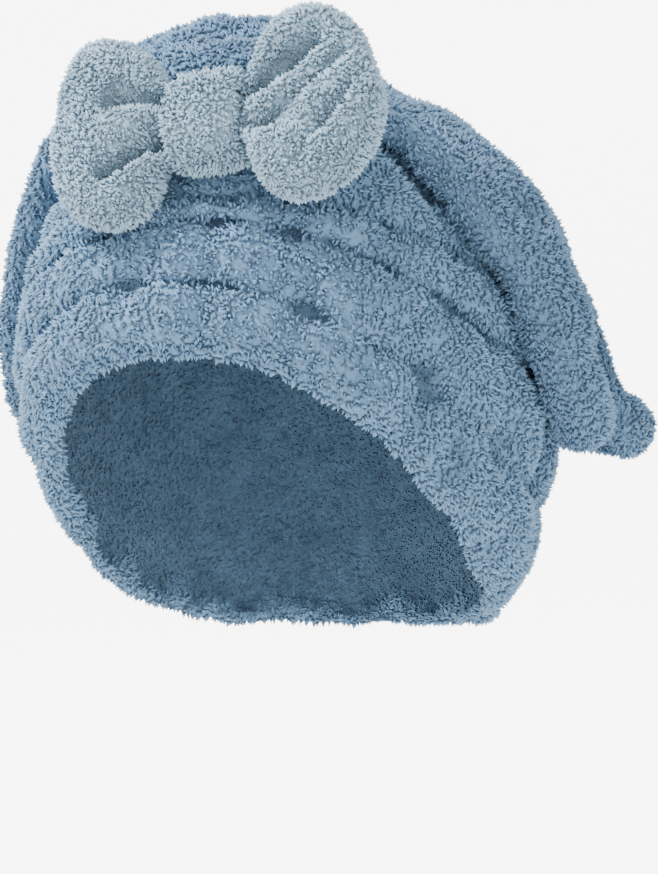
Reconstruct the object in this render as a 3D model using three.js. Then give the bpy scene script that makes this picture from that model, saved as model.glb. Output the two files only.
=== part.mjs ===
// A hair turban towel: a plush cap with a shirred elastic band, a slouchy crown
// that hangs behind like a beret, and a bow tied over the front of the band.
// Millimetres, +Z up, +X to the wearer's left, -Y to the wearer's face. The origin
// is the middle of the head at its widest level, where the cap is carried.
import * as THREE from 'three';

// The head that the band is made for
const headHalfWidth = 79;
const headHalfLength = 99;
const headTop = 125;
const napeDepth = 70;
const napeNarrowing = 0.1;

// Heights of the band's two edges
const hemFrontHeight = 16;
const hemDrop = 116;
const bandTopFrontHeight = 99;
const bandTopDrop = 70;

// Cloth and seams
const bandWall = 4;
const bandPuff = 5;
const bandSlack = 11;
const gatherDepth = 2;
const dimpleDepth = 6;
const crownWall = 3;
const seamClearance = 0.42;

// The crown's own reach from the middle of the head
const crownTop = 136;
const crownDrop = 163;
const crownSide = 110;
const crownFront = 118;
const crownBack = 138;
const crownFoldDepth = 7;
const crownClothFall = 235;
const lipRoll = 10;
const edgeBend = 12;

// The bow and the wrap round its waist
const bowHalfWidth = 53.5;
const bowHalfHeight = 36;
const bowHalfThickness = 10;
const bowCreaseShare = 0.6;
const bowSeatHeight = 86;
const bowStandOff = 4.3;
const bowOffset = 18;
const bowLean = 24;
const bowTilt = 3;
const bowWaistHalfHeight = 11;
const bowWaistHalfThickness = 6;
const knotHalfWidth = 12.8;
const knotWall = 4.8;
const knotClearance = 0.35;

// How finely each piece is divided
const bandStations = 76;
const crownStations = 60;
const bowSectionPoints = 18;
const knotStations = 24;

// The band round the head: hem and top are shares of their drops, the three
// gathered rows are shares of the way from the hem to the top edge, and slack
// is the share of bandSlack that the band stands off the head
const bandRows = [
  { angle: 0, hem: 0.0, rowA: 0.2, rowB: 0.42, rowC: 0.5, top: 0.0, slack: 0.1 },
  { angle: 15, hem: 0.02, rowA: 0.205, rowB: 0.435, rowC: 0.51, top: 0.01, slack: 0.15 },
  { angle: 37, hem: 0.15, rowA: 0.2, rowB: 0.445, rowC: 0.57, top: 0.04, slack: 0.3 },
  { angle: 63, hem: 0.44, rowA: 0.21, rowB: 0.465, rowC: 0.62, top: 0.16, slack: 0.6 },
  { angle: 90, hem: 0.77, rowA: 0.23, rowB: 0.48, rowC: 0.66, top: 0.36, slack: 1.15 },
  { angle: 120, hem: 0.93, rowA: 0.25, rowB: 0.5, rowC: 0.72, top: 0.6, slack: 1.4 },
  { angle: 150, hem: 0.98, rowA: 0.25, rowB: 0.5, rowC: 0.75, top: 0.86, slack: 1.1 },
  { angle: 180, hem: 1.0, rowA: 0.25, rowB: 0.5, rowC: 0.75, top: 1.0, slack: 0.75 },
  { angle: 210, hem: 0.98, rowA: 0.25, rowB: 0.5, rowC: 0.75, top: 0.86, slack: 0.75 },
  { angle: 240, hem: 0.92, rowA: 0.25, rowB: 0.5, rowC: 0.72, top: 0.6, slack: 0.7 },
  { angle: 270, hem: 0.76, rowA: 0.23, rowB: 0.48, rowC: 0.66, top: 0.36, slack: 0.6 },
  { angle: 297, hem: 0.42, rowA: 0.22, rowB: 0.46, rowC: 0.62, top: 0.16, slack: 0.55 },
  { angle: 323, hem: 0.14, rowA: 0.22, rowB: 0.44, rowC: 0.57, top: 0.04, slack: 0.4 },
  { angle: 345, hem: 0.02, rowA: 0.22, rowB: 0.42, rowC: 0.52, top: 0.01, slack: 0.2 },
];

// Deep pinches where the elastic draws the band in: rise is the share of the way
// from hem to top, spread and tall are half sizes in degrees and in that share
const bandDimples = [
  { angle: 57, rise: 0.2, spread: 5, tall: 0.08, depth: 0.8 },
  { angle: 63, rise: 0.1, spread: 4, tall: 0.08, depth: 0.6 },
  { angle: 78, rise: 0.25, spread: 4, tall: 0.09, depth: 1.0 },
  { angle: 98, rise: 0.3, spread: 6, tall: 0.09, depth: 0.9 },
  { angle: 45, rise: 0.54, spread: 4, tall: 0.05, depth: 0.5 },
  { angle: 135, rise: 0.25, spread: 6, tall: 0.08, depth: 0.8 },
  { angle: 180, rise: 0.25, spread: 6, tall: 0.08, depth: 0.7 },
  { angle: 225, rise: 0.27, spread: 6, tall: 0.08, depth: 0.8 },
  { angle: 262, rise: 0.26, spread: 5, tall: 0.08, depth: 0.8 },
  { angle: 292, rise: 0.25, spread: 4, tall: 0.07, depth: 0.6 },
];

// Sections of the crown from its top down: fall is the share of the cloth from
// the top to the lowest edge, drop is a share of crownDrop, left and right are
// shares of crownSide, front of crownFront and back of crownBack
const crownSections = [
  { fall: 0.0, drop: 0.0, left: 0.0, right: 0.0, front: 0.0, back: 0.0 },
  { fall: 0.09, drop: 0.008, left: 0.21, right: 0.11, front: 0.17, back: 0.21 },
  { fall: 0.17, drop: 0.03, left: 0.37, right: 0.17, front: 0.33, back: 0.37 },
  { fall: 0.25, drop: 0.075, left: 0.49, right: 0.24, front: 0.46, back: 0.48 },
  { fall: 0.32, drop: 0.135, left: 0.59, right: 0.34, front: 0.57, back: 0.57 },
  { fall: 0.38, drop: 0.19, left: 0.655, right: 0.48, front: 0.645, back: 0.65 },
  { fall: 0.43, drop: 0.235, left: 0.71, right: 0.6, front: 0.69, back: 0.73 },
  { fall: 0.51, drop: 0.33, left: 0.785, right: 0.77, front: 0.8, back: 0.83 },
  { fall: 0.6, drop: 0.45, left: 0.86, right: 0.89, front: 0.9, back: 0.9 },
  { fall: 0.69, drop: 0.57, left: 0.905, right: 0.965, front: 0.98, back: 0.95 },
  { fall: 0.79, drop: 0.71, left: 0.94, right: 1.03, front: 1.02, back: 0.985 },
  { fall: 0.9, drop: 0.865, left: 0.955, right: 1.06, front: 1.03, back: 1.0 },
  { fall: 1.0, drop: 1.0, left: 0.95, right: 1.06, front: 1.03, back: 0.99 },
];

// The crown's rolled edge, once round: turn is the share of the way round the
// edge, drop a share of crownDrop, roll a share of lipRoll, and seat the angle
// where its under layer is sewn to the band
const crownEdge = [
  { turn: 0.0, angle: 0, drop: 0.2, roll: 0.45, seat: 0 },
  { turn: 0.05, angle: 32, drop: 0.205, roll: 0.5, seat: 32 },
  { turn: 0.09, angle: 52, drop: 0.235, roll: 0.65, seat: 53 },
  { turn: 0.115, angle: 62, drop: 0.29, roll: 0.8, seat: 64 },
  { turn: 0.14, angle: 68, drop: 0.395, roll: 0.95, seat: 73 },
  { turn: 0.17, angle: 75, drop: 0.54, roll: 1.0, seat: 82 },
  { turn: 0.2, angle: 81, drop: 0.695, roll: 1.0, seat: 89 },
  { turn: 0.23, angle: 86, drop: 0.83, roll: 0.9, seat: 95 },
  { turn: 0.25, angle: 91, drop: 0.92, roll: 0.8, seat: 99 },
  { turn: 0.272, angle: 98, drop: 0.95, roll: 0.75, seat: 104 },
  { turn: 0.302, angle: 106, drop: 0.875, roll: 0.6, seat: 109 },
  { turn: 0.345, angle: 115, drop: 0.95, roll: 0.7, seat: 116 },
  { turn: 0.385, angle: 126, drop: 0.955, roll: 0.7, seat: 126 },
  { turn: 0.42, angle: 140, drop: 0.92, roll: 0.6, seat: 139 },
  { turn: 0.46, angle: 158, drop: 0.96, roll: 0.6, seat: 158 },
  { turn: 0.5, angle: 180, drop: 0.93, roll: 0.6, seat: 180 },
  { turn: 0.55, angle: 202, drop: 0.96, roll: 0.6, seat: 202 },
  { turn: 0.6, angle: 221, drop: 0.92, roll: 0.6, seat: 221 },
  { turn: 0.64, angle: 236, drop: 0.94, roll: 0.55, seat: 236 },
  { turn: 0.68, angle: 252, drop: 0.9, roll: 0.45, seat: 249 },
  { turn: 0.72, angle: 266, drop: 0.88, roll: 0.45, seat: 260 },
  { turn: 0.75, angle: 276, drop: 0.87, roll: 0.5, seat: 268 },
  { turn: 0.78, angle: 283, drop: 0.8, roll: 0.5, seat: 274 },
  { turn: 0.81, angle: 287, drop: 0.67, roll: 0.5, seat: 279 },
  { turn: 0.84, angle: 291, drop: 0.53, roll: 0.5, seat: 285 },
  { turn: 0.87, angle: 297, drop: 0.39, roll: 0.5, seat: 293 },
  { turn: 0.89, angle: 302, drop: 0.29, roll: 0.5, seat: 300 },
  { turn: 0.92, angle: 312, drop: 0.22, roll: 0.45, seat: 311 },
  { turn: 0.96, angle: 334, drop: 0.2, roll: 0.45, seat: 334 },
];

// Folds that run down the crown: positive depths stand out, negative ones are
// valleys, start and end are shares of the fall, lean turns the fold with the fall
const crownFolds = [
  { angle: 101, width: 6, depth: -1.5, start: 0.33, end: 0.93, lean: 4 },
  { angle: 88, width: 9, depth: 0.5, start: 0.4, end: 1.05, lean: -2 },
  { angle: 116, width: 10, depth: 0.9, start: 0.4, end: 1.1, lean: 6 },
  { angle: 117, width: 13, depth: 2.9, start: 0.86, end: 1.6, lean: 0 },
  { angle: 134, width: 8, depth: -0.9, start: 0.4, end: 1.2, lean: 4 },
  { angle: 168, width: 9, depth: -0.9, start: 0.3, end: 1.2, lean: 2 },
  { angle: 203, width: 9, depth: -0.8, start: 0.35, end: 1.2, lean: -2 },
  { angle: 232, width: 8, depth: -0.8, start: 0.4, end: 1.2, lean: -4 },
  { angle: 342, width: 9, depth: -0.5, start: 0.08, end: 0.36, lean: 0 },
  { angle: 14, width: 8, depth: -0.5, start: 0.1, end: 0.36, lean: 0 },
];

// Sections of the bow from its left end to its right end: out is a share of
// bowHalfWidth, up and down of bowHalfHeight, thick of bowHalfThickness, and
// crease is how far the two creases by the wrap cut into the front
const bowSections = [
  { out: -1.0, up: 0.42, down: 0.1, thick: 0.55, crease: 0.0 },
  { out: -0.96, up: 0.78, down: 0.42, thick: 0.8, crease: 0.0 },
  { out: -0.86, up: 1.02, down: 0.72, thick: 0.95, crease: 0.1 },
  { out: -0.72, up: 1.03, down: 0.86, thick: 1.05, crease: 0.4 },
  { out: -0.56, up: 0.94, down: 0.9, thick: 1.1, crease: 0.8 },
  { out: -0.4, up: 0.74, down: 0.8, thick: 1.1, crease: 1.0 },
  { out: -0.26, up: 0.54, down: 0.6, thick: 0.95, crease: 0.9 },
  { out: -0.12, up: 0.3, down: 0.32, thick: 0.62, crease: 0.2 },
  { out: 0.0, up: 0.25, down: 0.25, thick: 0.6, crease: 0.0 },
  { out: 0.12, up: 0.3, down: 0.3, thick: 0.62, crease: 0.2 },
  { out: 0.28, up: 0.6, down: 0.56, thick: 0.95, crease: 0.9 },
  { out: 0.42, up: 0.9, down: 0.76, thick: 1.05, crease: 0.9 },
  { out: 0.58, up: 1.01, down: 0.86, thick: 1.1, crease: 0.6 },
  { out: 0.76, up: 0.95, down: 0.86, thick: 1.1, crease: 0.3 },
  { out: 0.9, up: 0.7, down: 0.68, thick: 0.95, crease: 0.0 },
  { out: 1.0, up: 0.34, down: 0.42, thick: 0.8, crease: 0.0 },
  { out: 1.05, up: 0.06, down: 0.16, thick: 0.5, crease: 0.0 },
];

const fullTurn = 2 * Math.PI;
const toRadians = Math.PI / 180;

// A smooth curve through one column of a table. With a period the table closes
// on itself, as it does for angles round the head
function readColumn(rows, key, at, column, period = 0) {
  const count = rows.length;
  let place = at;
  if (period) place = ((at % period) + period) % period;
  const row = (index) => {
    if (!period) return rows[Math.min(Math.max(index, 0), count - 1)];
    return rows[((index % count) + count) % count];
  };
  const keyOf = (index) => {
    if (!period) return row(index)[key];
    return row(index)[key] + Math.floor(index / count) * period;
  };
  const wrap = column === key || column === 'angle' || column === 'seat';
  const valueOf = (index) => {
    const turns = period && wrap ? Math.floor(index / count) : 0;
    const step = column === key ? period : 360;
    return row(index)[column] + turns * step;
  };
  let low = 0;
  const last = period ? count - 1 : count - 2;
  while (low < last && keyOf(low + 1) <= place) low += 1;
  if (!period) place = Math.min(Math.max(place, keyOf(0)), keyOf(count - 1));
  const span = keyOf(low + 1) - keyOf(low);
  const slope = (index) => {
    const before = !period && index === 0 ? 0 : index - 1;
    const after = !period && index === count - 1 ? index : index + 1;
    return (valueOf(after) - valueOf(before)) / (keyOf(after) - keyOf(before));
  };
  const share = (place - keyOf(low)) / span;
  const square = share * share;
  const cube = square * share;
  return (2 * cube - 3 * square + 1) * valueOf(low)
    + (cube - 2 * square + share) * span * slope(low)
    + (3 * square - 2 * cube) * valueOf(low + 1)
    + (cube - square) * span * slope(low + 1);
}

function smoothStep(from, to, value) {
  const share = Math.min(Math.max((value - from) / (to - from), 0), 1);
  return share * share * (3 - 2 * share);
}

// The distance between two angles in degrees, the short way round
function angleBetween(first, second) {
  return ((first - second + 540) % 360) - 180;
}

// A closed skin over rings of points. The rings close on each other, or end in
// the single point of a pole. Each cell is split along its shorter diagonal, so
// that the two faces of a thin wall are split alike
function skin(rings, startPole, endPole) {
  const around = rings[0].length;
  const positions = [];
  const faces = [];
  for (const ring of rings) for (const point of ring) positions.push(...point.toArray());
  const at = (ring, step) => (ring % rings.length) * around + (step % around);
  const ringSteps = startPole ? rings.length - 1 : rings.length;
  for (let ring = 0; ring < ringSteps; ring += 1) {
    const next = (ring + 1) % rings.length;
    for (let step = 0; step < around; step += 1) {
      const beside = (step + 1) % around;
      const cell = [at(ring, step), at(ring, beside), at(next, beside), at(next, step)];
      const falling = rings[ring][step].distanceTo(rings[next][beside]);
      const rising = rings[ring][beside].distanceTo(rings[next][step]);
      if (rising < falling) cell.push(cell.shift());
      faces.push(cell[0], cell[1], cell[2], cell[0], cell[2], cell[3]);
    }
  }
  if (startPole) {
    const first = positions.length / 3;
    positions.push(...startPole.toArray(), ...endPole.toArray());
    const lastRing = rings.length - 1;
    for (let step = 0; step < around; step += 1) {
      faces.push(first, at(0, step + 1), at(0, step));
      faces.push(first + 1, at(lastRing, step), at(lastRing, step + 1));
    }
  }
  if (signedVolume(positions, faces) < 0) faces.reverse();
  const geometry = new THREE.BufferGeometry();
  geometry.setAttribute('position', new THREE.Float32BufferAttribute(positions, 3));
  geometry.setIndex(faces);
  geometry.computeVertexNormals();
  return geometry;
}

function signedVolume(positions, faces) {
  const corner = (index) => new THREE.Vector3().fromArray(positions, 3 * index);
  let volume = 0;
  for (let face = 0; face < faces.length; face += 3) {
    const [a, b, c] = [corner(faces[face]), corner(faces[face + 1]), corner(faces[face + 2])];
    volume += a.dot(b.cross(c)) / 6;
  }
  return volume;
}

// The head's own size at a height, as a share of its widest section
function headShare(height) {
  if (height > 0) return Math.sqrt(Math.max(1 - (height / headTop) ** 2, 0));
  return 1 - napeNarrowing * (height / napeDepth) ** 2;
}

function headPoint(angle, height, outward) {
  const share = headShare(height);
  const turn = angle * toRadians;
  const x = (headHalfWidth * share + outward) * Math.sin(turn);
  const y = -(headHalfLength * share + outward) * Math.cos(turn);
  return new THREE.Vector3(x, y, height);
}

// Heights are spaced along the cloth by the angle above the widest level
function climbOf(height) {
  return height > 0 ? Math.asin(height / headTop) : height / headTop;
}

function heightOf(climb) {
  return climb > 0 ? headTop * Math.sin(climb) : headTop * climb;
}

function bandColumn(angle, column) {
  return readColumn(bandRows, 'angle', angle, column, 360);
}

function bandHeight(angle, rise) {
  const hem = hemFrontHeight - hemDrop * bandColumn(angle, 'hem');
  const top = bandTopFrontHeight - bandTopDrop * bandColumn(angle, 'top');
  return heightOf(THREE.MathUtils.lerp(climbOf(hem), climbOf(top), rise));
}

// How far the band's inner face stands off the head
function bandStandOff(angle, rise) {
  const shape = smoothStep(-0.25, 0.4, rise) * (1 - 0.65 * smoothStep(0.4, 1.0, rise));
  return bandSlack * bandColumn(angle, 'slack') * shape;
}

function bandDimple(angle, rise) {
  let depth = 0;
  for (const dimple of bandDimples) {
    const across = angleBetween(angle, dimple.angle) / dimple.spread;
    const along = (rise - dimple.rise) / dimple.tall;
    depth += dimple.depth * Math.exp(-across * across - along * along);
  }
  return Math.min(depth, 1) * dimpleDepth;
}

// The puff of the four channels between the gathered rows, from 0 on a row to 1
function channelPuff(angle, rise) {
  const rows = [0, bandColumn(angle, 'rowA'), bandColumn(angle, 'rowB'),
    bandColumn(angle, 'rowC'), 1];
  let channel = 0;
  while (channel < 3 && rise > rows[channel + 1]) channel += 1;
  const share = (rise - rows[channel]) / (rows[channel + 1] - rows[channel]);
  const bulge = Math.sqrt(Math.max(Math.sin(Math.PI * Math.min(Math.max(share, 0), 1)), 0));
  return bulge * puffShare(rise);
}

// The crown's seam presses the top channel flat towards its edge
function puffShare(rise) {
  return 1 - 0.92 * smoothStep(0.66, 0.9, rise);
}

// Gathers: uneven ripples along the rows, out of step from one row to the next
function gatherRipple(angle, rise) {
  const turn = angle * toRadians;
  const ripple = Math.sin(17 * turn + 5 * rise) + 0.6 * Math.sin(23 * turn - 7 * rise + 1.3);
  return gatherDepth * 0.6 * ripple;
}

function bandThickness(angle, rise) {
  return bandWall + bandPuff * channelPuff(angle, rise);
}

// A point of the band's outer face
function bandOuter(angle, rise) {
  const ripple = gatherRipple(angle, rise) * smoothStep(0.02, 0.15, rise)
    * smoothStep(1, 0.85, rise);
  const thickness = bandThickness(angle, rise) + ripple - bandDimple(angle, rise);
  const outward = bandStandOff(angle, rise) + Math.max(thickness, bandWall / 2);
  return headPoint(angle, bandHeight(angle, rise), outward);
}

function bandInner(angle, rise) {
  return headPoint(angle, bandHeight(angle, rise), bandStandOff(angle, rise));
}

// The band's two edges are round, about the middle of its wall
function bandEdge(angle, rise) {
  const inner = bandInner(angle, rise);
  const outer = headPoint(angle, bandHeight(angle, rise), bandStandOff(angle, rise) + bandWall);
  const centre = inner.clone().lerp(outer, 0.5);
  const outward = outer.clone().sub(inner).normalize();
  const step = 0.01;
  const along = bandInner(angle, rise + step).sub(bandInner(angle, rise - step));
  along.addScaledVector(outward, -along.dot(outward)).normalize();
  return { centre, outward, along };
}

function bandEdgeRound(angle, rise, turn, radius) {
  const edge = bandEdge(angle, rise);
  return edge.centre.addScaledVector(edge.outward, radius * Math.cos(turn))
    .addScaledVector(edge.along, radius * Math.sin(turn));
}

function buildBand() {
  const innerRises = [1, 0.7, 0.35, 0];
  const edgeTurns = [0.33, 0.67];
  const rings = [];
  const angles = Array.from({ length: bandStations }, (_, step) => (step * 360) / bandStations);
  const channelSteps = [0.08, 0.3, 0.55, 0.82];
  const riseAt = (angle, channel, share) => {
    const rows = [0, bandColumn(angle, 'rowA'), bandColumn(angle, 'rowB'),
      bandColumn(angle, 'rowC'), 1];
    return THREE.MathUtils.lerp(rows[channel], rows[channel + 1], share);
  };
  rings.push(angles.map((angle) => bandEdgeRound(angle, 0, 0, bandWall / 2)));
  for (let channel = 0; channel < 4; channel += 1) {
    for (const share of [...channelSteps, 1]) {
      if (channel === 3 && share === 1) continue;
      rings.push(angles.map((angle) => bandOuter(angle, riseAt(angle, channel, share))));
    }
  }
  rings.push(angles.map((angle) => bandEdgeRound(angle, 1, 0, bandWall / 2)));
  for (const turn of edgeTurns) {
    rings.push(angles.map((angle) => bandEdgeRound(angle, 1, turn * Math.PI, bandWall / 2)));
  }
  for (const rise of innerRises) rings.push(angles.map((angle) => bandInner(angle, rise)));
  for (const turn of edgeTurns) {
    rings.push(angles.map((angle) => bandEdgeRound(angle, 0, (1 + turn) * Math.PI, bandWall / 2)));
  }
  return skin(rings);
}

function crownColumn(fall, column) {
  return readColumn(crownSections, 'fall', fall, column);
}

function crownHeight(fall) {
  return crownTop - crownDrop * crownColumn(fall, 'drop');
}

function crownFold(angle, fall) {
  let depth = 0;
  for (const fold of crownFolds) {
    const middle = fold.angle + fold.lean * (fall - 0.7);
    const across = angleBetween(angle, middle) / fold.width;
    const fade = 0.12;
    const along = smoothStep(fold.start, fold.start + fade, fall)
      * (1 - smoothStep(fold.end - fade, fold.end, fall));
    depth += fold.depth * Math.exp(-across * across) * along;
  }
  return depth * crownFoldDepth;
}

// The middle of the crown's cloth, at an angle round the head and a fall from
// the top
function crownPoint(angle, fall) {
  const turn = angle * toRadians;
  const side = crownSide * crownColumn(fall, Math.sin(turn) > 0 ? 'right' : 'left');
  const reach = Math.cos(turn) > 0
    ? crownFront * crownColumn(fall, 'front')
    : crownBack * crownColumn(fall, 'back');
  const fold = crownFold(angle, fall);
  return new THREE.Vector3(
    (side + fold) * Math.sin(turn),
    -(reach + fold) * Math.cos(turn),
    crownHeight(fall),
  );
}

// The fall at which the crown has come down by a share of crownDrop
function fallOfDrop(drop) {
  let low = 0;
  let high = 1;
  for (let step = 0; step < 24; step += 1) {
    const middle = (low + high) / 2;
    if (crownColumn(middle, 'drop') < drop) low = middle;
    else high = middle;
  }
  return high;
}

function edgeAt(turn) {
  const column = (name) => readColumn(crownEdge, 'turn', turn, name, 1);
  return { angle: column('angle'), fall: fallOfDrop(column('drop')), roll: lipRoll * column('roll'),
    seat: column('seat') };
}

const rollArcs = [0.2, 0.4, 0.6, 0.8, 1];
const tightestRoll = 0.75 * crownWall;

// One line of the crown's cloth, from its top over the shoulder to the rolled
// edge, round it, and back under to the band's top edge
function crownLine(turn) {
  const edge = edgeAt(turn);
  const step = 0.02;
  const before = edgeAt(turn - step);
  const after = edgeAt(turn + step);
  const reach = crownPoint(edge.angle, edge.fall).setZ(0).length();
  const round = angleBetween(after.angle, before.angle) * toRadians * reach;
  const down = (after.fall - before.fall) * crownClothFall;
  const length = Math.hypot(round, down);
  const bend = Math.min(edgeBend, 0.45 * edge.fall * crownClothFall);
  const bendAngle = edge.angle + ((down / length) * bend) / reach / toRadians;
  const bendFall = edge.fall - ((round / length) * bend) / crownClothFall;
  const startAngle = 360 * turn + 0.35 * angleBetween(edge.angle, 360 * turn);
  const points = [];
  const upperSteps = 9;
  for (let index = 1; index <= upperSteps; index += 1) {
    const share = index / upperSteps;
    const angle = startAngle + angleBetween(bendAngle, startAngle) * smoothStep(0, 1.3, share)
      / smoothStep(0, 1.3, 1);
    points.push(crownPoint(angle, bendFall * share));
  }
  const lowerSteps = 2;
  for (let index = 1; index <= lowerSteps; index += 1) {
    const share = index / lowerSteps;
    const angle = bendAngle + angleBetween(edge.angle, bendAngle) * share;
    points.push(crownPoint(angle, THREE.MathUtils.lerp(bendFall, edge.fall, share)));
  }
  const lip = points[points.length - 1];
  const along = crownPoint(after.angle, after.fall).sub(crownPoint(before.angle, before.fall));
  const inside = crownPoint(edge.angle, edge.fall)
    .sub(crownPoint(bendAngle, THREE.MathUtils.lerp(bendFall, edge.fall, 0.7)));
  const outward = inside.clone().cross(along).normalize();
  const beyond = along.clone().cross(outward).normalize();
  if (outward.dot(lip.clone().setZ(0)) < 0) outward.negate();
  if (beyond.dot(inside) < 0) beyond.negate();
  let roll = edge.roll;
  const rolled = () => rollArcs.map((arc) => lip.clone()
    .addScaledVector(outward, roll * (Math.cos(arc * Math.PI) - 1))
    .addScaledVector(beyond, roll * Math.sin(arc * Math.PI)));
  while (roll > tightestRoll && rolled().some((point) => roomUnder(point) < 0)) {
    roll -= tightestRoll / 10;
  }
  const arcPoints = rolled().map(pushedClear);
  return [...points, ...arcPoints, ...underLayer(arcPoints[arcPoints.length - 1], edge)];
}

// The nearest that the middle of the crown's cloth comes to the band's outer
// face, level with a point
function clearOfBand(point) {
  const angle = Math.atan2(point.x / headHalfWidth, -point.y / headHalfLength) / toRadians;
  const top = climbOf(bandHeight(angle, 1));
  const hem = climbOf(bandHeight(angle, 0));
  const rise = (climbOf(point.z) - hem) / (top - hem);
  const level = Math.min(rise, 1);
  const outward = bandStandOff(angle, level) + bandWall + bandPuff * puffShare(level)
    + gatherDepth * smoothStep(1, 0.85, level) + 2 * seamClearance + crownWall / 2;
  return headPoint(angle, bandHeight(angle, level), outward);
}

function roomUnder(point) {
  const least = clearOfBand(point);
  return Math.hypot(point.x, point.y) - Math.hypot(least.x, least.y);
}

function pushedClear(point) {
  const reach = Math.hypot(point.x, point.y);
  const scale = Math.max(1, (reach - roomUnder(point)) / reach);
  return new THREE.Vector3(point.x * scale, point.y * scale, point.z);
}

// The under layer lies over the band and wraps its top edge, where it is sewn
function underLayer(start, edge) {
  const points = [];
  const wrap = bandWall / 2 + 2 * seamClearance + crownWall / 2;
  const seam = bandEdge(edge.seat, 1);
  const toward = start.clone().sub(seam.centre);
  const meeting = Math.atan2(toward.dot(seam.along), toward.dot(seam.outward));
  const firstTurn = Math.min(Math.max(meeting, 0), 0.35 * Math.PI);
  const lastTurn = 0.6 * Math.PI;
  const end = bandEdgeRound(edge.seat, 1, firstTurn, wrap);
  const steps = 4;
  for (let index = 1; index <= steps; index += 1) {
    const share = index / (steps + 1);
    points.push(pushedClear(start.clone().lerp(end, share)));
  }
  for (const share of [0, 1 / 3, 2 / 3, 1]) {
    points.push(bandEdgeRound(edge.seat, 1, THREE.MathUtils.lerp(firstTurn, lastTurn, share), wrap));
  }
  return points;
}

function buildCrown() {
  const turns = Array.from({ length: crownStations }, (_, step) => step / crownStations);
  const lines = turns.map(crownLine);
  const rows = lines[0].length;
  const top = crownPoint(0, 0);
  const middle = (station, row) => {
    const line = lines[(station + crownStations) % crownStations];
    return row < 0 ? top : line[Math.min(row, rows - 1)];
  };
  const outer = [];
  const inner = [];
  for (let row = 0; row < rows; row += 1) {
    outer.push([]);
    inner.push([]);
    for (let station = 0; station < crownStations; station += 1) {
      const across = middle(station + 1, row).clone().sub(middle(station - 1, row));
      const along = middle(station, row + 1).clone().sub(middle(station, row - 1));
      const normal = along.cross(across).normalize();
      const point = middle(station, row);
      outer[row].push(point.clone().addScaledVector(normal, crownWall / 2));
      inner[row].push(point.clone().addScaledVector(normal, -crownWall / 2));
    }
  }
  const rings = [...outer, ...inner.reverse()];
  const up = new THREE.Vector3(0, 0, crownWall / 2);
  return skin(rings, top.clone().add(up), top.clone().sub(up));
}

// The bow's own frame: right along the bow, up along its leaning face, and out
// to the front
function bowFrame() {
  const lean = bowLean * toRadians;
  const tilt = bowTilt * toRadians;
  const out = new THREE.Vector3(0, -Math.cos(lean), Math.sin(lean));
  const level = new THREE.Vector3(1, 0, 0);
  const rise = new THREE.Vector3(0, Math.sin(lean), Math.cos(lean));
  const right = level.clone().multiplyScalar(Math.cos(tilt)).addScaledVector(rise, Math.sin(tilt));
  const up = rise.clone().multiplyScalar(Math.cos(tilt)).addScaledVector(level, -Math.sin(tilt));
  const support = headHalfLength * headShare(bowSeatHeight) + bandWall + bandPuff;
  const depth = support + seamClearance + bowHalfThickness + bowStandOff;
  return { centre: new THREE.Vector3(bowOffset, -depth, bowSeatHeight), right, up, out };
}

function bowPlace(frame, right, up, out) {
  return frame.centre.clone().addScaledVector(frame.right, right)
    .addScaledVector(frame.up, up).addScaledVector(frame.out, out);
}

function buildBow() {
  const frame = bowFrame();
  const steps = 30;
  const first = bowSections[0].out;
  const last = bowSections[bowSections.length - 1].out;
  const rings = [];
  for (let step = 0; step <= steps; step += 1) {
    const share = (1 - Math.cos((Math.PI * step) / steps)) / 2;
    const out = THREE.MathUtils.lerp(first, last, 0.35 * share + 0.65 * (step / steps));
    const column = (name) => readColumn(bowSections, 'out', out, name);
    const opening = smoothStep(knotHalfWidth - 1, knotHalfWidth + 9, Math.abs(bowHalfWidth * out));
    const ring = [];
    for (let point = 0; point < bowSectionPoints; point += 1) {
      const turn = (point / bowSectionPoints) * fullTurn;
      const loop = bowHalfHeight * (Math.sin(turn) > 0 ? column('up') : column('down'));
      const height = THREE.MathUtils.lerp(bowWaistHalfHeight, loop, opening);
      const across = Math.sign(Math.sin(turn)) * Math.abs(Math.sin(turn)) ** 0.9;
      const depth = Math.sign(Math.cos(turn)) * Math.abs(Math.cos(turn)) ** 0.7;
      const groove = Math.exp(-(((Math.abs(across) - 0.36) / 0.17) ** 2));
      const stuffed = bowHalfThickness * column('thick');
      const full = THREE.MathUtils.lerp(bowWaistHalfThickness, stuffed, opening);
      const thick = full * (1 - bowCreaseShare * column('crease') * groove);
      ring.push(bowPlace(frame, bowHalfWidth * out, height * across, thick * depth));
    }
    rings.push(ring);
  }
  const endOf = (place) => {
    const ring = rings[place];
    const centre = new THREE.Vector3();
    for (const point of ring) centre.addScaledVector(point, 1 / ring.length);
    return centre;
  };
  return skin(rings, endOf(0), endOf(rings.length - 1));
}

function buildKnot() {
  const frame = bowFrame();
  const rings = [];
  const sectionPoints = 8;
  for (let step = 0; step < knotStations; step += 1) {
    const turn = (step / knotStations) * fullTurn;
    const ring = [];
    for (let point = 0; point < sectionPoints; point += 1) {
      const section = (point / sectionPoints) * fullTurn;
      const wall = knotWall / 2;
      const high = bowWaistHalfHeight + knotClearance + wall + wall * Math.cos(section);
      const deep = bowWaistHalfThickness + knotClearance + wall + wall * Math.cos(section);
      const up = high * Math.sign(Math.sin(turn)) * Math.abs(Math.sin(turn)) ** 0.8;
      const out = deep * Math.sign(Math.cos(turn)) * Math.abs(Math.cos(turn)) ** 0.8;
      const wide = knotHalfWidth * Math.sin(section);
      ring.push(bowPlace(frame, wide, up, out));
    }
    rings.push(ring);
  }
  return skin(rings);
}

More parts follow.
